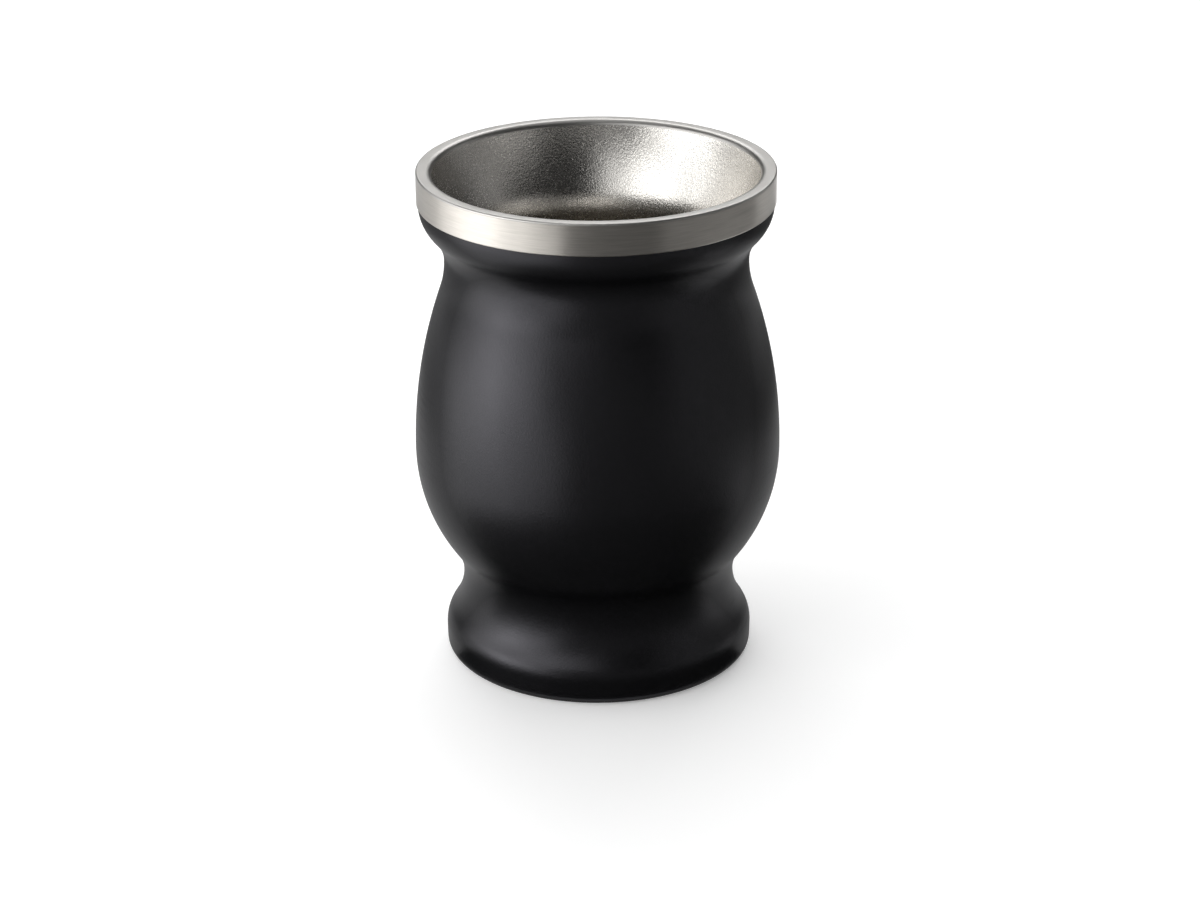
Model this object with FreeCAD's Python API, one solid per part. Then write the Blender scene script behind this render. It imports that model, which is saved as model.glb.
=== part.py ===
import FreeCAD, Part
import math
import os
from FreeCAD import Vector

# Double-walled steel mate cup with a bare band at the lip and a coated body.
# Millimetres, +Z up. The origin is the middle of the ring that the foot stands on.

# The outer form, read on the outer shell: where the wall stands upright
cup_height = 110.3
rim_radius = 38.2
band_height = 7.0
band_step = 0.3
neck_drop = 19.9
neck_radius = 32.6
belly_height = 47.7
belly_radius = 39.8
waist_height = 17.9
waist_radius = 29.9
foot_height = 5.2
foot_radius = 33.9

# Bends of the hollows; the bulges between them take what is left
flare_bend = 9.2
neck_bend = 22.0
waist_bend_above = 11.9
waist_bend_below = 15.8
foot_side_bend = 100.0
foot_edge_bend = 2.0

# Sheet and spaces
shell_wall = 0.5
cup_wall = 0.5
vacuum_gap = 2.8
foot_ring_width = 2.0

# The lip, turned out from the inner cup and welded to the shell's top edge
lip_width = 3.4
lip_bend = 1.4
lip_edge_bend = 0.4

# The dish of the drinking side between the throat and the lip
mouth_bend = 60.0

# The inner cup's floor, and the most that its bowl leans in above it, in degrees
floor_height = 19.0
floor_bend = 12.0
bowl_lean = 60

# The pan that closes the vacuum space, seen from below as a recess
pan_wall = 0.5
pan_depth = 3.4
pan_bend = 0.5
dimple_radius = 6.0
dimple_rise = 1.0
evacuation_hole_radius = 0.6

# The bead of solder glass that closes the evacuation hole
bead_radius = 2.4
bead_height = 0.7

# The getter pill on the pan
getter_radius = 4.0
getter_height = 2.4
getter_edge = 0.4
getter_offset = 16.0

# The cover pressed into the recess
cover_wall = 0.5
cover_recess = 1.0
cover_bend = 0.9
cover_clearance = 0.05

AXIS = Vector(0, 0, 1)
QUARTER = math.pi / 2


def bend(centre_r, centre_z, radius, start, end):
    """A round stretch of an outline, as centre, radius and the angles it runs between."""
    return (centre_r, centre_z, radius, start, end)


def s_curve(r0, z0, r1, z1, hollow_bend):
    """Two tangent bends between two heights where the wall stands upright."""
    step = abs(r1 - r0)
    rise = z1 - z0
    both_bends = (step ** 2 + rise ** 2) / (2 * step)
    bulge_bend = both_bends - hollow_bend
    turn = 2 * math.atan(step / rise)
    if r0 > r1:
        bulge = bend(r0 - bulge_bend, z0, bulge_bend, 0, turn)
        hollow = bend(r1 + hollow_bend, z1, hollow_bend, math.pi + turn, math.pi)
        return [bulge, hollow]
    hollow = bend(r0 + hollow_bend, z0, hollow_bend, math.pi, math.pi - turn)
    bulge = bend(r1 - bulge_bend, z1, bulge_bend, -turn, 0)
    return [hollow, bulge]


def round_into_floor(side, floor_z, corner, lean=90):
    """Ends a bulging side on a flat floor with a tangent corner; goes from the floor up.

    A side that has turned in by the lean before it reaches the corner runs on to it straight.
    """
    centre_r, centre_z, radius, _, end = side
    reach = radius - corner
    drop = floor_z + corner - centre_z
    meeting = -math.radians(lean)
    if drop > reach * math.sin(meeting):
        meeting = math.asin(drop / reach)
    straight_drop = reach * math.sin(meeting) - drop
    corner_r = centre_r + reach * math.cos(meeting) + straight_drop * math.tan(meeting)
    return [bend(corner_r, floor_z + corner, corner, -QUARTER, meeting),
            bend(centre_r, centre_z, radius, meeting, end)]


def bulge_between(lower, upper, bulge_bend):
    """Joins two hollows by a bulge tangent to both; trims them to where it leaves and meets them."""
    low_r, low_z, low_bend, low_start, _ = lower
    up_r, up_z, up_bend, _, up_end = upper
    span = math.hypot(up_r - low_r, up_z - low_z)
    to_low = bulge_bend + low_bend
    to_up = bulge_bend + up_bend
    corner = math.acos((to_low ** 2 + span ** 2 - to_up ** 2) / (2 * to_low * span))
    towards_bulge = math.atan2(up_z - low_z, up_r - low_r) + corner
    centre_r = low_r + to_low * math.cos(towards_bulge)
    centre_z = low_z + to_low * math.sin(towards_bulge)
    towards_upper = math.atan2(up_z - centre_z, up_r - centre_r)
    return [bend(low_r, low_z, low_bend, low_start, towards_bulge),
            bend(centre_r, centre_z, bulge_bend, towards_bulge - math.pi, towards_upper),
            bend(up_r, up_z, up_bend, math.pi + towards_upper, up_end)]


def inset(outline, distance):
    """The same outline, moved inwards: bulges get tighter and hollows get wider."""
    moved = []
    for centre_r, centre_z, radius, start, end in outline:
        is_bulge = end > start
        new_radius = radius - distance if is_bulge else radius + distance
        moved.append(bend(centre_r, centre_z, new_radius, start, end))
    return moved


def turned_back(outline):
    """The same outline, run from its top down."""
    return [bend(r, z, radius, end, start) for r, z, radius, start, end in reversed(outline)]


def revolved(section):
    """Turns a closed section round the axis. Items are (r, z) points and bends."""
    edges = []
    first = None
    last = None
    for item in section:
        if len(item) == 2:
            begin = finish = Vector(item[0], 0, item[1])
            curve = None
        else:
            centre_r, centre_z, radius, start, end = item
            on_arc = [Vector(centre_r + radius * math.cos(a), 0, centre_z + radius * math.sin(a))
                      for a in (start, (start + end) / 2, end)]
            begin, finish = on_arc[0], on_arc[2]
            curve = Part.Arc(*on_arc).toShape()
        if first is None:
            first = begin
        elif last.distanceToPoint(begin) > 1e-6:
            edges.append(Part.LineSegment(last, begin).toShape())
        if curve is not None:
            edges.append(curve)
        last = finish
    if last.distanceToPoint(first) > 1e-6:
        edges.append(Part.LineSegment(last, first).toShape())
    face = Part.Face(Part.Wire(edges))
    return face.revolve(Vector(0, 0, 0), AXIS, 360)


band_bottom = cup_height - band_height
coat_radius = rim_radius - band_step
neck_height = cup_height - neck_drop
foot_to_waist = s_curve(foot_radius, foot_height, waist_radius, waist_height, waist_bend_below)
waist_to_belly = s_curve(waist_radius, waist_height, belly_radius, belly_height, waist_bend_above)
belly_to_neck = s_curve(belly_radius, belly_height, neck_radius, neck_height, neck_bend)
neck_to_band = s_curve(neck_radius, neck_height, coat_radius, band_bottom, flare_bend)
foot_side = bend(foot_radius - foot_side_bend, foot_height, foot_side_bend, 0, 0)
foot_outline = round_into_floor(foot_side, 0, foot_edge_bend)
ring_outer_radius = foot_outline[0][0]
ring_inner_radius = ring_outer_radius - foot_ring_width
shell_outline = foot_outline + foot_to_waist + waist_to_belly + belly_to_neck + neck_to_band
shell_top = cup_height - cup_wall


def outer_shell():
    """The formed outer wall: foot, waist, belly, neck and the band that stands a little proud."""
    inner_outline = turned_back(inset(shell_outline, shell_wall))
    band_corner = bend(coat_radius, band_bottom + band_step, band_step, -QUARTER, 0)
    section = [(ring_inner_radius, 0)]
    section += shell_outline
    section += [band_corner, (rim_radius, shell_top), (rim_radius - shell_wall, shell_top)]
    section += [(rim_radius - shell_wall, band_bottom + band_step)]
    section += inner_outline
    section += [(ring_inner_radius, shell_wall)]
    return revolved(section)


def inner_cup():
    """The drawn inner wall, a set gap inside the shell up to its throat, then a dished mouth and the lip."""
    back_inset = shell_wall + vacuum_gap
    belly_side = waist_to_belly[1]
    neck_side = neck_to_band[0]
    floor_back = floor_height - cup_wall
    bowl_back, throat_back = inset([belly_side, neck_side], back_inset)
    back = round_into_floor(bowl_back, floor_back, floor_bend, bowl_lean)
    back += inset(belly_to_neck, back_inset)
    lip_centre_r = rim_radius - lip_width + lip_bend
    lip_centre_z = cup_height - lip_bend
    lip_back = bend(lip_centre_r, lip_centre_z, lip_bend - cup_wall, math.pi, QUARTER)
    back += bulge_between(throat_back, lip_back, mouth_bend + cup_wall)
    drink_side = inset(back, cup_wall)
    lip_edge = bend(rim_radius - lip_edge_bend, cup_height - lip_edge_bend, lip_edge_bend, 0, QUARTER)
    section = [(0, floor_back)]
    section += back
    section += [(rim_radius, shell_top), lip_edge]
    section += turned_back(drink_side)
    section += [(0, floor_height)]
    return revolved(section)


def base_pan():
    """The pressed pan: a flange on the shell's turned-in ring, a riser and a plate with a dimple."""
    flange_bottom = shell_wall
    flange_top = flange_bottom + pan_wall
    plate_bottom = pan_depth
    plate_top = plate_bottom + pan_wall
    recess_radius = ring_inner_radius
    riser_radius = recess_radius + pan_wall
    outer_bend = pan_bend + pan_wall
    bend_r = recess_radius - pan_bend
    bend_z = plate_bottom - pan_bend
    slope_radius = dimple_radius + dimple_rise
    section = [
        (recess_radius, flange_bottom),
        bend(bend_r, bend_z, pan_bend, 0, QUARTER),
        (slope_radius, plate_bottom),
        (dimple_radius, plate_bottom + dimple_rise),
        (evacuation_hole_radius, plate_bottom + dimple_rise),
        (evacuation_hole_radius, plate_top + dimple_rise),
        (dimple_radius, plate_top + dimple_rise),
        (slope_radius, plate_top),
        bend(bend_r, bend_z, outer_bend, QUARTER, 0),
        bend(riser_radius + pan_bend, flange_top + pan_bend, pan_bend, math.pi, math.pi + QUARTER),
        (ring_outer_radius, flange_top),
        (ring_outer_radius, flange_bottom),
    ]
    return revolved(section)


def seal_bead():
    """A flat-topped drop of solder glass under the evacuation hole."""
    seat = pan_depth + dimple_rise
    ball_radius = (bead_radius ** 2 + bead_height ** 2) / (2 * bead_height)
    centre_z = seat - bead_height + ball_radius
    edge_angle = math.atan2(seat - centre_z, bead_radius)
    return revolved([(0, seat), bend(0, centre_z, ball_radius, -QUARTER, edge_angle)])


def getter():
    """The pill that keeps the vacuum, standing on the pan beside the dimple."""
    base = pan_depth + pan_wall
    pill = Part.makeCylinder(getter_radius, getter_height, Vector(getter_offset, 0, base), AXIS)
    top_edges = [e for e in pill.Edges
                 if len(e.Vertexes) == 1 and e.Vertexes[0].Z > base + getter_height / 2]
    return pill.makeFillet(getter_edge, top_edges).Solids[0]


def base_cover():
    """The shallow cover pressed into the recess, its rim turned up to where the pan's bend begins."""
    rim_outer = ring_inner_radius - cover_clearance
    rim_inner = rim_outer - cover_wall
    rim_top = pan_depth - pan_bend
    bend_r = rim_outer - cover_bend
    bend_z = cover_recess + cover_bend
    section = [
        (0, cover_recess),
        bend(bend_r, bend_z, cover_bend, -QUARTER, 0),
        (rim_outer, rim_top),
        (rim_inner, rim_top),
        bend(bend_r, bend_z, cover_bend - cover_wall, 0, -QUARTER),
        (0, cover_recess + cover_wall),
    ]
    return revolved(section)


NODES = {
    "inner_cup": inner_cup,
    "outer_shell": outer_shell,
    "base_pan": base_pan,
    "seal_bead": seal_bead,
    "getter": getter,
    "base_cover": base_cover,
}

os.makedirs("parts", exist_ok=True)
for name, make in NODES.items():
    shape = make()
    shape.exportStep("parts/" + name + ".step")
    box = shape.optimalBoundingBox()
    print(name, shape.ShapeType, "valid", shape.isValid(), "volume", round(shape.Volume, 1),
          "z", round(box.ZMin, 3), round(box.ZMax, 3), "r", round(box.XMax, 3))
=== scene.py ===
import math
import bpy
from mathutils import Matrix, Vector


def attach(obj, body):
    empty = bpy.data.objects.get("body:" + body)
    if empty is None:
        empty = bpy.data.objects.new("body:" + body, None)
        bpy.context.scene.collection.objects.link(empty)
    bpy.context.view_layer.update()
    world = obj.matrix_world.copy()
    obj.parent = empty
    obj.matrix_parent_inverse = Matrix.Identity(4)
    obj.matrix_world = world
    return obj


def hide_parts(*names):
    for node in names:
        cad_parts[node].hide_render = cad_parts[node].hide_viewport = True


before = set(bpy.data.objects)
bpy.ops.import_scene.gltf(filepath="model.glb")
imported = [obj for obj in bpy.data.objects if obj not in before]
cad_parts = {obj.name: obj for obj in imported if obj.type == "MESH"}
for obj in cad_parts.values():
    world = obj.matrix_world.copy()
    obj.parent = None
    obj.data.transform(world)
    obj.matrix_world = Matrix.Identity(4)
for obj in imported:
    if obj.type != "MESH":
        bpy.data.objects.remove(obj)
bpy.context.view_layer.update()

# The cup's own sizes in metres, as its steel parts have them

MM = 0.001
QUARTER = math.pi / 2

cup_height = 110.3 * MM
rim_radius = 38.2 * MM
band_height = 7.0 * MM
band_step = 0.3 * MM
neck_drop = 19.9 * MM
neck_radius = 32.6 * MM
belly_height = 47.7 * MM
belly_radius = 39.8 * MM
waist_height = 17.9 * MM
waist_radius = 29.9 * MM
foot_height = 5.2 * MM
foot_radius = 33.9 * MM

flare_bend = 9.2 * MM
neck_bend = 22.0 * MM
waist_bend_above = 11.9 * MM
waist_bend_below = 15.8 * MM
foot_side_bend = 100.0 * MM
foot_edge_bend = 2.0 * MM

wall = 0.5 * MM
vacuum_gap = 2.8 * MM
foot_ring_width = 2.0 * MM
lip_width = 3.4 * MM
lip_bend = 1.4 * MM
lip_edge_bend = 0.4 * MM
mouth_bend = 60.0 * MM
floor_height = 19.0 * MM
floor_bend = 12.0 * MM
bowl_lean = 60
pan_depth = 3.4 * MM
pan_bend = 0.5 * MM
cover_recess = 1.0 * MM
cover_bend = 0.9 * MM
cover_clearance = 0.05 * MM

# The weld seam under the lip shows as a hair-fine groove between the two walls
seam_groove = 0.05 * MM

# A warm shade is painted on the inside from this height down, over this distance
painted_shade_top = 98.0 * MM
painted_shade_fade = 12.0 * MM

band_bottom = cup_height - band_height
coat_radius = rim_radius - band_step
neck_height = cup_height - neck_drop
shell_top = cup_height - wall

# How finely the turned walls are divided
steps_round = 256
bend_step = math.radians(6)
longest_step = 0.9 * MM
longest_straight_step = 4 * longest_step
crease_angle = math.radians(32)

# Points this near to each other are one in a section, and are welded in a turned wall
same_point = 1e-8
weld_distance = 1e-7


def bend(centre_r, centre_z, radius, start, end):
    """A round stretch of an outline, as centre, radius and the angles it runs between."""
    return (centre_r, centre_z, radius, start, end)


def s_curve(r0, z0, r1, z1, hollow_bend):
    """Two tangent bends between two heights where the wall stands upright."""
    step = abs(r1 - r0)
    rise = z1 - z0
    bulge_bend = (step ** 2 + rise ** 2) / (2 * step) - hollow_bend
    turn = 2 * math.atan(step / rise)
    if r0 > r1:
        return [bend(r0 - bulge_bend, z0, bulge_bend, 0, turn),
                bend(r1 + hollow_bend, z1, hollow_bend, math.pi + turn, math.pi)]
    return [bend(r0 + hollow_bend, z0, hollow_bend, math.pi, math.pi - turn),
            bend(r1 - bulge_bend, z1, bulge_bend, -turn, 0)]


def round_into_floor(side, floor_z, corner, lean=90):
    """Ends a bulging side on a flat floor with a tangent corner; goes from the floor up.

    A side that has turned in by the lean before it reaches the corner runs on to it straight.
    """
    centre_r, centre_z, radius, _, end = side
    reach = radius - corner
    drop = floor_z + corner - centre_z
    meeting = -math.radians(lean)
    if drop > reach * math.sin(meeting):
        meeting = math.asin(drop / reach)
    straight_drop = reach * math.sin(meeting) - drop
    corner_r = centre_r + reach * math.cos(meeting) + straight_drop * math.tan(meeting)
    return [bend(corner_r, floor_z + corner, corner, -QUARTER, meeting),
            bend(centre_r, centre_z, radius, meeting, end)]


def bulge_between(lower, upper, bulge_bend):
    """Joins two hollows by a bulge tangent to both; trims them to where it leaves and meets them."""
    low_r, low_z, low_bend, low_start, _ = lower
    up_r, up_z, up_bend, _, up_end = upper
    span = math.hypot(up_r - low_r, up_z - low_z)
    to_low = bulge_bend + low_bend
    to_up = bulge_bend + up_bend
    corner = math.acos((to_low ** 2 + span ** 2 - to_up ** 2) / (2 * to_low * span))
    towards_bulge = math.atan2(up_z - low_z, up_r - low_r) + corner
    centre_r = low_r + to_low * math.cos(towards_bulge)
    centre_z = low_z + to_low * math.sin(towards_bulge)
    towards_upper = math.atan2(up_z - centre_z, up_r - centre_r)
    return [bend(low_r, low_z, low_bend, low_start, towards_bulge),
            bend(centre_r, centre_z, bulge_bend, towards_bulge - math.pi, towards_upper),
            bend(up_r, up_z, up_bend, math.pi + towards_upper, up_end)]


def inset(outline, distance):
    """The same outline, moved inwards: bulges get tighter and hollows get wider."""
    return [bend(r, z, radius + (distance if end < start else -distance), start, end)
            for r, z, radius, start, end in outline]


def turned_back(outline):
    """The same outline, run from its top down."""
    return [bend(r, z, radius, end, start) for r, z, radius, start, end in reversed(outline)]


def divided(section):
    """The points of a closed section of (r, z) points and bends, close enough to look round."""
    corners = []
    for item in section:
        if len(item) == 2:
            corners.append(item)
            continue
        centre_r, centre_z, radius, start, end = item
        sweep = abs(end - start)
        count = max(2, math.ceil(sweep / bend_step), math.ceil(sweep * radius / longest_step))
        for index in range(count + 1):
            angle = start + (end - start) * index / count
            corners.append((centre_r + radius * math.cos(angle), centre_z + radius * math.sin(angle)))
    corners.append(corners[0])
    points = [corners[0]]
    for here in corners[1:]:
        last = points[-1]
        gap = math.dist(last, here)
        if gap < same_point:
            continue
        pieces = max(1, math.ceil(gap / longest_straight_step))
        for index in range(1, pieces + 1):
            share = index / pieces
            points.append((last[0] + (here[0] - last[0]) * share,
                           last[1] + (here[1] - last[1]) * share))
    return points


foot_to_waist = s_curve(foot_radius, foot_height, waist_radius, waist_height, waist_bend_below)
waist_to_belly = s_curve(waist_radius, waist_height, belly_radius, belly_height, waist_bend_above)
belly_to_neck = s_curve(belly_radius, belly_height, neck_radius, neck_height, neck_bend)
neck_to_band = s_curve(neck_radius, neck_height, coat_radius, band_bottom, flare_bend)
foot_side = bend(foot_radius - foot_side_bend, foot_height, foot_side_bend, 0, 0)
foot_outline = round_into_floor(foot_side, 0, foot_edge_bend)
ring_outer_radius = foot_outline[0][0]
ring_inner_radius = ring_outer_radius - foot_ring_width
shell_outline = foot_outline + foot_to_waist + waist_to_belly + belly_to_neck + neck_to_band


def shell_section():
    """The outer wall: foot, waist, belly, neck and the band that stands a little proud."""
    band_corner = bend(coat_radius, band_bottom + band_step, band_step, -QUARTER, 0)
    section = [(ring_inner_radius, 0)]
    section += shell_outline
    section += [band_corner, (rim_radius, shell_top - seam_groove)]
    section += [(rim_radius - seam_groove, shell_top), (rim_radius - wall, shell_top)]
    section += [(rim_radius - wall, band_bottom + band_step)]
    section += turned_back(inset(shell_outline, wall))
    section += [(ring_inner_radius, wall)]
    return divided(section)


def cup_section():
    """The inner wall, a set gap inside the shell up to its throat, then a dished mouth and the lip."""
    floor_back = floor_height - wall
    bowl_back, throat_back = inset([waist_to_belly[1], neck_to_band[0]], wall + vacuum_gap)
    back = round_into_floor(bowl_back, floor_back, floor_bend, bowl_lean)
    back += inset(belly_to_neck, wall + vacuum_gap)
    lip_r = rim_radius - lip_width + lip_bend
    lip_z = cup_height - lip_bend
    lip_back = bend(lip_r, lip_z, lip_bend - wall, math.pi, QUARTER)
    back += bulge_between(throat_back, lip_back, mouth_bend + wall)
    section = [(0, floor_back)]
    section += back
    section += [(rim_radius - seam_groove, shell_top), (rim_radius, shell_top + seam_groove)]
    section += [bend(rim_radius - lip_edge_bend, cup_height - lip_edge_bend, lip_edge_bend, 0, QUARTER)]
    section += turned_back(inset(back, wall))
    section += [(0, floor_height)]
    return divided(section)


def cover_section():
    """The shallow cover pressed into the foot's recess, with its rim turned up."""
    rim_outer = ring_inner_radius - cover_clearance
    rim_top = pan_depth - pan_bend
    bend_r = rim_outer - cover_bend
    bend_z = cover_recess + cover_bend
    section = [(0, cover_recess)]
    section += [bend(bend_r, bend_z, cover_bend, -QUARTER, 0)]
    section += [(rim_outer, rim_top), (rim_outer - wall, rim_top)]
    section += [bend(bend_r, bend_z, cover_bend - wall, 0, -QUARTER)]
    section += [(0, cover_recess + wall)]
    return divided(section)


# Node trees are written as calls and sums


class Graph:
    """A node tree, for a finish or for a shape, to which nodes are added one call at a time."""

    def __init__(self, tree):
        self.tree = tree
        tree.nodes.clear()

    def node(self, kind, settings=None, values=None, output=0):
        """Adds a node: its settings first, then its sockets' values or links. Returns an output."""
        made = self.tree.nodes.new(kind)
        for name, setting in (settings or {}).items():
            if name == "stops":
                self.set_stops(made.color_ramp, setting)
            else:
                setattr(made, name, setting)
        for name, value in (values or {}).items():
            if isinstance(value, Wire):
                self.tree.links.new(value.socket, made.inputs[name])
            else:
                made.inputs[name].default_value = value
        return Wire(self, made, output)

    def set_stops(self, ramp, stops):
        """Sets a ramp's stops from (place, grey) pairs."""
        while len(ramp.elements) < len(stops):
            ramp.elements.new(1.0)
        for element, (place, grey) in zip(ramp.elements, stops):
            element.position = place
            element.color = (grey, grey, grey, 1)

    def math(self, operation, *operands, clamp=False):
        """Adds one step of arithmetic on wires and numbers."""
        settings = {"operation": operation, "use_clamp": clamp}
        return self.node("ShaderNodeMath", settings, dict(enumerate(operands)))


class Wire:
    """An output of a node, which takes part in sums like a number."""

    def __init__(self, graph, made, output=0):
        self.graph = graph
        self.made = made
        self.socket = made.outputs[output] if made.outputs else None

    def out(self, output):
        """Another output of the same node."""
        return Wire(self.graph, self.made, output)

    def __add__(self, other):
        return self.graph.math("ADD", self, other)

    def __sub__(self, other):
        return self.graph.math("SUBTRACT", self, other)

    def __rsub__(self, other):
        return self.graph.math("SUBTRACT", other, self)

    def __mul__(self, other):
        return self.graph.math("MULTIPLY", self, other)

    def __truediv__(self, other):
        return self.graph.math("DIVIDE", self, other)

    def __pow__(self, other):
        return self.graph.math("POWER", self, other)

    def __gt__(self, other):
        return self.graph.math("GREATER_THAN", self, other)


# Finishes


class Finish(Graph):
    """A material with one main shader, whose constants are set on the shader's own sockets."""

    def __init__(self, name, **constants):
        self.material = bpy.data.materials.new(name)
        self.material.use_nodes = True
        super().__init__(self.material.node_tree)
        self.surface = self.node("ShaderNodeBsdfPrincipled", values=constants)
        self.shader = self.surface.made
        self.end = self.node("ShaderNodeOutputMaterial", values={"Surface": self.surface}).made
        self.place = self.node("ShaderNodeTexCoord", output="Object")

    def feed(self, name, wire):
        """Lets something that varies over the surface drive one of the shader's sockets."""
        self.tree.links.new(wire.socket, self.shader.inputs[name])

    def blend(self, share, other):
        """Mixes a second shader over the main one."""
        mixed = self.node("ShaderNodeMixShader", values={0: share, 1: self.surface, 2: other})
        self.tree.links.new(mixed.socket, self.end.inputs["Surface"])

    def stretched(self, across, along):
        """Object coordinates scaled so that a grain runs round the axis."""
        values = {"Vector": self.place, "Scale": (across, across, along)}
        return self.node("ShaderNodeMapping", values=values)

    def noise(self, vector, scale, detail=2.0, roughness=0.5):
        """Noise in the given place; its scale is in repeats a metre on the plain object coordinates."""
        values = {"Vector": vector, "Scale": scale, "Detail": detail, "Roughness": roughness}
        return self.node("ShaderNodeTexNoise", values=values)

    def height_above_rest(self):
        """How high a point lies above the table, in metres."""
        return self.node("ShaderNodeSeparateXYZ", values={"Vector": self.place}, output="Z")

    def mix_colours(self, share, first, second):
        """A colour that goes from the first to the second."""
        values = {"Factor": share, 6: first, 7: second}
        return self.node("ShaderNodeMix", {"data_type": "RGBA"}, values, output=2)

    def bump(self, height, strength, distance):
        """A relief on the surface, as deep as the distance at its full strength."""
        values = {"Height": height, "Strength": strength, "Distance": distance}
        return self.node("ShaderNodeBump", values=values)


def brushed_band():
    """Bare steel brushed round the axis: fine streaks and a highlight drawn out upright."""
    finish = Finish("brushed_band", **{"Metallic": 1.0, "Anisotropic": 0.7,
                                       "Anisotropic Rotation": 0.25})
    fine = finish.noise(finish.stretched(across=150, along=4200), 1.0, detail=3.0, roughness=0.6)
    broad = finish.noise(finish.stretched(across=60, along=1300), 1.0)
    streaks = finish.math("MULTIPLY", fine * 0.7 + broad * 0.3 - 0.3, 2.5, clamp=True)
    light = (0.53, 0.506, 0.47, 1)
    dark = (0.4, 0.38, 0.351, 1)
    finish.feed("Base Color", finish.mix_colours(streaks, dark, light))
    finish.feed("Roughness", streaks * 0.1 + 0.31)
    finish.feed("Normal", finish.bump(streaks, strength=0.5, distance=0.012 * MM))
    return finish.material


def blasted_steel():
    """Bare steel blasted to a soft satin, whose grain sparkles with glints partly painted into its colour,
    with a warm shade painted down in the throat.
    """
    finish = Finish("blasted_steel", **{"Metallic": 1.0})
    grain = finish.noise(finish.place, 2600, roughness=0.6)
    specks = finish.noise(finish.place, 2900, detail=1.0)
    # Bright specks in the colour stand in for the grain's sparkle, so they are painted glints; in the
    # roughness they are the grain's own
    grain_and_painted_glints = finish.math("MULTIPLY_ADD", specks, 2.6, -0.8, clamp=True)
    clouds = finish.noise(finish.place, 90, detail=3.0)
    clouds_and_painted_glints = grain_and_painted_glints * 0.75 + clouds * 0.25
    bright = finish.mix_colours(clouds_and_painted_glints, (0.47, 0.455, 0.43, 1), (0.76, 0.74, 0.705, 1))
    # Deeper in the throat the colour turns warmer and a little darker: painted shade with a painted warm
    # reflection
    painted_warm_shade = finish.mix_colours(clouds_and_painted_glints, (0.46, 0.435, 0.395, 1), (0.73, 0.7, 0.645, 1))
    below_top = painted_shade_top - finish.height_above_rest()
    depth = finish.math("MULTIPLY", below_top, 1 / painted_shade_fade, clamp=True)
    finish.feed("Base Color", finish.mix_colours(depth, bright, painted_warm_shade))
    finish.feed("Roughness", grain_and_painted_glints * 0.06 + clouds * 0.03 + 0.2)
    finish.feed("Normal", finish.bump(grain, strength=1.0, distance=0.055 * MM))
    return finish.material


def satin_lip():
    """The lip, blasted as the inside is but rubbed smoother."""
    finish = Finish("satin_lip", **{"Metallic": 1.0})
    rubbed = finish.noise(finish.stretched(across=120, along=3000), 1.0)
    grain = finish.noise(finish.place, 2300, roughness=0.6)
    finish.feed("Base Color", finish.mix_colours(rubbed, (0.42, 0.41, 0.392, 1), (0.5, 0.49, 0.475, 1)))
    finish.feed("Roughness", rubbed * 0.08 + 0.34)
    finish.feed("Normal", finish.bump(grain, strength=0.5, distance=0.06 * MM))
    return finish.material


def powder_coat():
    """The matte black coat, with the fine skin of a baked powder that dulls it at a slant."""
    finish = Finish("powder_coat", **{"Specular IOR Level": 0.5, "Specular Tint": (0.93, 0.915, 1, 1)})
    skin = finish.noise(finish.place, 2300, roughness=0.6)
    patches = finish.noise(finish.place, 45, detail=3.0)
    hairlines = finish.noise(finish.stretched(across=70, along=2600), 1.0)
    rubbed = finish.math("MULTIPLY", hairlines - 0.6, 9.0, clamp=True) * (patches > 0.53)
    black = finish.mix_colours(patches, (0.0016, 0.0016, 0.002, 1), (0.0038, 0.0038, 0.0043, 1))
    relief = finish.bump(skin, strength=1.0, distance=0.03 * MM)
    finish.feed("Base Color", black)
    finish.feed("Roughness", patches * 0.05 + rubbed * 0.05 + 0.34)
    finish.feed("Normal", relief)
    dull = finish.node("ShaderNodeBsdfPrincipled", values={"Base Color": black, "Roughness": 0.6,
                                                           "Specular IOR Level": 0.0, "Normal": relief})
    slant = finish.node("ShaderNodeLayerWeight", values={"Blend": 0.5}, output="Facing")
    stops = [(0.2, 0.0), (0.4, 0.32), (0.52, 0.6), (0.62, 0.6), (0.75, 0.55), (0.95, 0.48)]
    finish.blend(finish.node("ShaderNodeValToRGB", {"stops": stops}, {"Fac": slant}), dull)
    return finish.material


def turned_steel():
    """The cover underneath, with the fine rings of a turned face."""
    finish = Finish("turned_steel", **{"Metallic": 1.0, "Anisotropic": 0.5})
    across = finish.node("ShaderNodeSeparateXYZ", values={"Vector": finish.place})
    radius = (across * across + across.out("Y") * across.out("Y")) ** 0.5
    ring_place = finish.node("ShaderNodeCombineXYZ", values={"X": radius * 5200})
    rings = finish.noise(ring_place, 1.0, detail=3.0)
    finish.feed("Base Color", finish.mix_colours(rings, (0.46, 0.45, 0.43, 1), (0.6, 0.585, 0.565, 1)))
    finish.feed("Roughness", rings * 0.15 + 0.25)
    finish.feed("Normal", finish.bump(rings, strength=0.3, distance=0.02 * MM))
    return finish.material


def plain_metal(name, dark, light, scale, roughness):
    """Sheet or pressed powder out of sight, clouded a little."""
    finish = Finish(name, **{"Metallic": 1.0})
    clouds = finish.noise(finish.place, scale, detail=4.0)
    finish.feed("Base Color", finish.mix_colours(clouds, dark, light))
    finish.feed("Roughness", clouds * 0.12 + roughness)
    finish.feed("Normal", finish.bump(clouds, strength=0.2, distance=0.03 * MM))
    return finish.material


def solder_glass():
    """Opaque dark glass, melted smooth."""
    finish = Finish("solder_glass_melt", **{"Specular IOR Level": 0.6})
    swirl = finish.noise(finish.place, 1500)
    finish.feed("Base Color", finish.mix_colours(swirl, (0.03, 0.035, 0.04, 1), (0.06, 0.065, 0.07, 1)))
    finish.feed("Roughness", swirl * 0.08 + 0.1)
    return finish.material


# The turned walls


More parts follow.
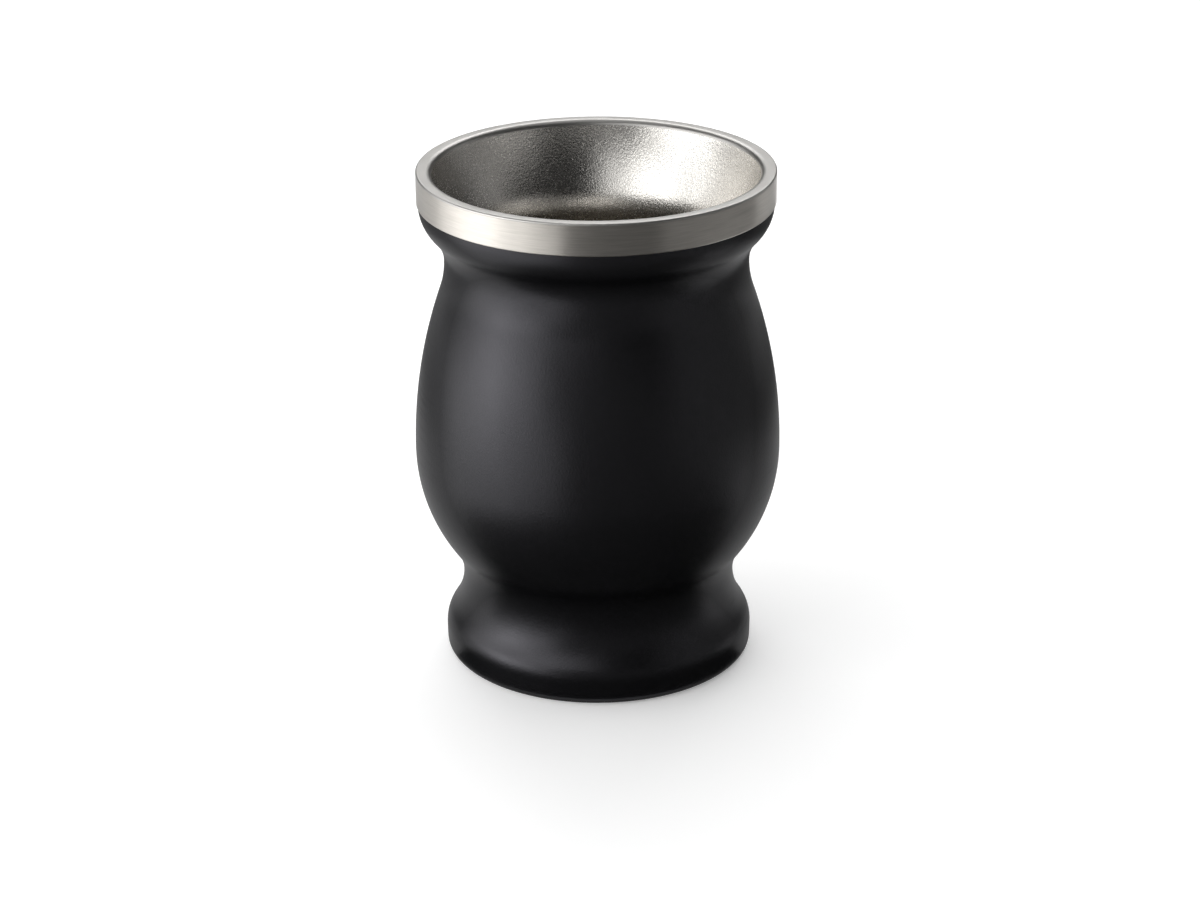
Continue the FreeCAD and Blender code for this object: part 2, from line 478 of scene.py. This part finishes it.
def turned_wall_tree():
    """A shape tree that turns a section's points round the axis, with a second finish up high."""
    tree = bpy.data.node_groups.new("turned_wall", "GeometryNodeTree")
    sockets = (("Section", "INPUT", "NodeSocketGeometry"), ("Steps Round", "INPUT", "NodeSocketInt"),
               ("Crease Angle", "INPUT", "NodeSocketFloat"), ("Finish", "INPUT", "NodeSocketMaterial"),
               ("Upper Finish", "INPUT", "NodeSocketMaterial"), ("Upper From", "INPUT", "NodeSocketFloat"),
               ("Wall", "OUTPUT", "NodeSocketGeometry"))
    for name, direction, kind in sockets:
        tree.interface.new_socket(name, in_out=direction, socket_type=kind)
    graph = Graph(tree)
    given = graph.node("NodeGroupInput", output="Section")
    steps = given.out("Steps Round")
    size = graph.node("GeometryNodeAttributeDomainSize", values={"Geometry": given}, output="Point Count")
    grid = graph.node("GeometryNodeMeshGrid", values={"Vertices X": steps + 1, "Vertices Y": size},
                      output="Mesh")
    index = graph.node("GeometryNodeInputIndex")
    column = graph.math("FLOOR", (index + 0.5) / size)
    row = index - column * size
    place = graph.node("GeometryNodeInputPosition")
    corner = graph.node("GeometryNodeSampleIndex", {"data_type": "FLOAT_VECTOR", "domain": "POINT"},
                        {"Geometry": given, "Value": place, "Index": row}, output="Value")
    turn = column * (2 * math.pi) / steps
    radius = graph.node("ShaderNodeSeparateXYZ", values={"Vector": corner})
    turned = graph.node("ShaderNodeCombineXYZ", values={"X": radius * graph.math("COSINE", turn),
                                                        "Y": radius * graph.math("SINE", turn),
                                                        "Z": radius.out("Z")})
    wall_points = graph.node("GeometryNodeSetPosition", values={"Geometry": grid, "Position": turned})
    closed = graph.node("GeometryNodeMergeByDistance",
                        values={"Geometry": wall_points, "Distance": weld_distance})
    smooth = graph.node("GeometryNodeSetShadeSmooth", values={"Geometry": closed, "Shade Smooth": True})
    edge_angle = graph.node("GeometryNodeInputMeshEdgeAngle")
    creased = graph.node("GeometryNodeStoreNamedAttribute", {"data_type": "BOOLEAN", "domain": "EDGE"},
                         {"Geometry": smooth, "Name": "sharp_edge",
                          "Value": edge_angle > given.out("Crease Angle")})
    real = graph.node("GeometryNodeRealizeInstances", values={"Geometry": creased})
    dressed = graph.node("GeometryNodeSetMaterial",
                         values={"Geometry": real, "Material": given.out("Finish")})
    middle = graph.node("ShaderNodeSeparateXYZ", values={"Vector": place}, output="Z")
    upper = graph.node("GeometryNodeSetMaterial", values={"Geometry": dressed,
                                                          "Selection": middle > given.out("Upper From"),
                                                          "Material": given.out("Upper Finish")})
    graph.node("NodeGroupOutput", values={"Wall": upper})
    return tree


def turned_wall(name, section, tree, finish, upper_finish=None, upper_from=cup_height):
    """Makes one wall of revolution as a plain mesh, its normals pointing outwards."""
    mesh = bpy.data.meshes.new(name + "_section")
    edges = [(index, index + 1) for index in range(len(section) - 1)]
    mesh.from_pydata([(r, 0, z) for r, z in section], edges, [])
    outline = bpy.data.objects.new(name + "_section", mesh)
    bpy.context.collection.objects.link(outline)
    modifier = outline.modifiers.new("turned", "NODES")
    modifier.node_group = tree
    inputs = {"Steps Round": steps_round, "Crease Angle": crease_angle, "Finish": finish,
              "Upper Finish": upper_finish or finish, "Upper From": upper_from}
    for item in tree.interface.items_tree:
        if item.name in inputs:
            modifier[item.identifier] = inputs[item.name]
    bpy.context.view_layer.update()
    seen = outline.evaluated_get(bpy.context.evaluated_depsgraph_get())
    piece = bpy.data.objects.new(name, bpy.data.meshes.new_from_object(seen))
    bpy.context.collection.objects.link(piece)
    bpy.data.objects.remove(outline)
    return piece


def dress(name, material):
    """Gives a carried-over steel or glass part its finish."""
    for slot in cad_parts[name].material_slots:
        slot.material = material


walls = turned_wall_tree()
coat = powder_coat()
blasted = blasted_steel()

shell = turned_wall("coated_shell", shell_section(), walls, coat, brushed_band(), band_bottom)
cup = turned_wall("steel_cup", cup_section(), walls, blasted, satin_lip(), cup_height - lip_bend)
cover = turned_wall("foot_cover", cover_section(), walls, turned_steel())

for piece, node, slot in ((shell, "outer_shell", "coated_steel"), (cup, "inner_cup", "cup_steel"),
                          (cover, "base_cover", "cover_steel")):
    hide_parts(node)
    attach(piece, "root")

dress("base_pan", plain_metal("rolled_sheet", dark=(0.45, 0.44, 0.42, 1), light=(0.55, 0.54, 0.52, 1),
                              scale=300, roughness=0.3))
dress("getter", plain_metal("pressed_powder", dark=(0.2, 0.2, 0.21, 1), light=(0.32, 0.32, 0.33, 1),
                            scale=4000, roughness=0.55))
dress("seal_bead", solder_glass())

# Studio


def matte(name, grey, glow=0.0):
    """A plain matte surface of the studio, with a glow that lights nothing."""
    material = bpy.data.materials.new(name)
    material.use_nodes = True
    graph = Graph(material.node_tree)
    surface = graph.node("ShaderNodeBsdfDiffuse", values={"Color": (grey, grey, grey, 1)})
    if glow:
        path = graph.node("ShaderNodeLightPath", output="Is Camera Ray")
        mirrored = path.out("Is Glossy Ray")
        seen = graph.math("ADD", path + mirrored, path.out("Is Transmission Ray"), clamp=True)
        light = graph.node("ShaderNodeEmission", values={"Strength": seen * glow})
        surface = graph.node("ShaderNodeAddShader", values={0: surface, 1: light})
    graph.node("ShaderNodeOutputMaterial", values={"Surface": surface})
    return material


def panel(name, corners, material):
    """A flat stage panel through the given corners."""
    mesh = bpy.data.meshes.new(name)
    mesh.from_pydata(corners, [], [tuple(range(len(corners)))])
    mesh.materials.append(material)
    made = bpy.data.objects.new(name, mesh)
    bpy.context.collection.objects.link(made)
    return made


def softbox(name, towards, distance, height, size, strength):
    """A rectangular lamp in a direction round the cup: 0 is the camera's side, 90 its right."""
    lamp = bpy.data.lights.new(name, "AREA")
    lamp.shape = "RECTANGLE"
    lamp.size, lamp.size_y = size
    lamp.energy = strength * math.pi * size[0] * size[1]
    made = bpy.data.objects.new(name, lamp)
    angle = math.radians(towards)
    place = Vector((distance * math.sin(angle), -distance * math.cos(angle), height))
    facing = (lamp_aim - place).to_track_quat("-Z", "Y")
    made.matrix_world = Matrix.Translation(place) @ facing.to_matrix().to_4x4()
    made.visible_camera = False
    bpy.context.collection.objects.link(made)


def flag(name, corners, material):
    """A card that only reflections show."""
    card = panel(name, corners, material)
    card.visible_camera = False
    card.visible_diffuse = False
    card.visible_shadow = False


lamp_aim = Vector((0, 0, 0.06))
floor_reach = 8.0
panel("floor", [(-floor_reach, -floor_reach, 0), (floor_reach, -floor_reach, 0),
                (floor_reach, floor_reach, 0), (-floor_reach, floor_reach, 0)],
      matte("white_floor", grey=0.9, glow=0.3))
black_card = matte("black_card", 0.08)
dark_card = matte("dark_card", 0.16)
grey_card = matte("grey_card", 0.26)
pale_card = matte("pale_card", 0.42)
card_lift = 0.5 * MM
standing_lift = 1 * MM
card_notch = foot_radius + 1 * MM
notch_steps = 12
notch_half_turn = math.radians(72)

# Round the foot a black card lies on the floor, cut out to clear it, so that the coat mirrors it
notch_turns = [notch_half_turn * (1 - 2 * step / notch_steps) for step in range(notch_steps + 1)]
notch = [(card_notch * math.sin(turn), -card_notch * math.cos(turn), card_lift) for turn in notch_turns]
flag("flag_by_foot", [(-0.10, -0.012, card_lift), (-0.08, -0.13, card_lift),
                      (0.17, -0.13, card_lift), (0.13, -0.010, card_lift)] + notch, black_card)

# One card rises from the table towards the lens, one stands at the right and two lie behind
flag("flag_under_lens", [(-0.05, -0.125, standing_lift), (0.17, -0.125, standing_lift),
                         (0.30, -0.62, 0.28), (-0.20, -0.62, 0.28)], dark_card)
flag("flag_right", [(0.135, -0.14, standing_lift), (0.175, 0.06, standing_lift),
                    (0.175, 0.06, 0.17), (0.135, -0.14, 0.17)], grey_card)
flag("flag_back_right", [(0.18, 0.05, card_lift), (0.36, 0.06, card_lift),
                         (0.24, 0.38, card_lift), (0.05, 0.22, card_lift)], grey_card)
flag("flag_back_left", [(-0.20, 0.03, card_lift), (-0.07, 0.26, card_lift),
                        (-0.20, 0.42, card_lift), (-0.40, 0.05, card_lift)], pale_card)

# Soft lamps by direction, distance, height, size and strength; those named key stand at the left
softbox("key_front_low", -50, 0.70, 0.20, (0.45, 0.30), 0.6)
softbox("key_front_high", -50, 0.70, 0.50, (0.45, 0.30), 2.5)
softbox("key_side_low", -78, 0.70, 0.20, (0.45, 0.30), 1.7)
softbox("key_side_high", -78, 0.70, 0.50, (0.45, 0.30), 1.4)
softbox("key_back", -106, 0.70, 0.30, (0.45, 0.35), 1.5)
softbox("left_low", -84, 0.22, 0.045, (0.20, 0.08), 1.1)
softbox("key_low", -62, 0.70, 0.13, (0.60, 0.20), 2.3)
softbox("front_high", -20, 0.70, 0.75, (0.40, 0.40), 0.5)
softbox("front_middle", -20, 0.70, 0.50, (0.40, 0.25), 1.1)
softbox("overhead", 180, 0.10, 1.0, (0.90, 0.90), 0.5)
softbox("right_low", 105, 0.90, 0.28, (0.60, 0.50), 0.5)
softbox("back_high", 180, 1.0, 0.9, (1.20, 0.60), 3.1)

# A broad fill from behind and above whitens the floor, and reflections don't show it
fill_from = Vector((0, 0.574, 0.819))
fill = bpy.data.objects.new("fill", bpy.data.lights.new("fill", "SUN"))
fill.data.energy = 1.4
fill.data.angle = math.radians(100)
fill.visible_glossy = False
fill.matrix_world = fill_from.to_track_quat("Z", "Y").to_matrix().to_4x4()
bpy.context.collection.objects.link(fill)

world = bpy.data.worlds.new("studio")
world.use_nodes = True
room = Graph(world.node_tree)
air = room.node("ShaderNodeBackground", values={"Color": (1, 1, 1, 1), "Strength": 0.02})
room.node("ShaderNodeOutputWorld", values={"Surface": air})
bpy.context.scene.world = world
bpy.context.scene.view_settings.view_transform = "Standard"

# Camera: 600 mm in front of the cup's axis and 297 mm above its rest

camera_place = Vector((0.5 * MM, -600 * MM, 297 * MM))
camera_pitch = 22.74
camera_roll = -0.301
focal_pixels = 2963
image_width = 1200

camera = bpy.data.objects.new("camera", bpy.data.cameras.new("camera"))
camera.data.sensor_width = 36
camera.data.sensor_fit = "HORIZONTAL"
camera.data.lens = camera.data.sensor_width * focal_pixels / image_width
camera.data.clip_start = 0.01
camera.data.clip_end = 50
camera.matrix_world = (Matrix.Translation(camera_place)
                       @ Matrix.Rotation(math.radians(90 - camera_pitch), 4, "X")
                       @ Matrix.Rotation(math.radians(camera_roll), 4, "Z"))
bpy.context.collection.objects.link(camera)
bpy.context.scene.camera = camera
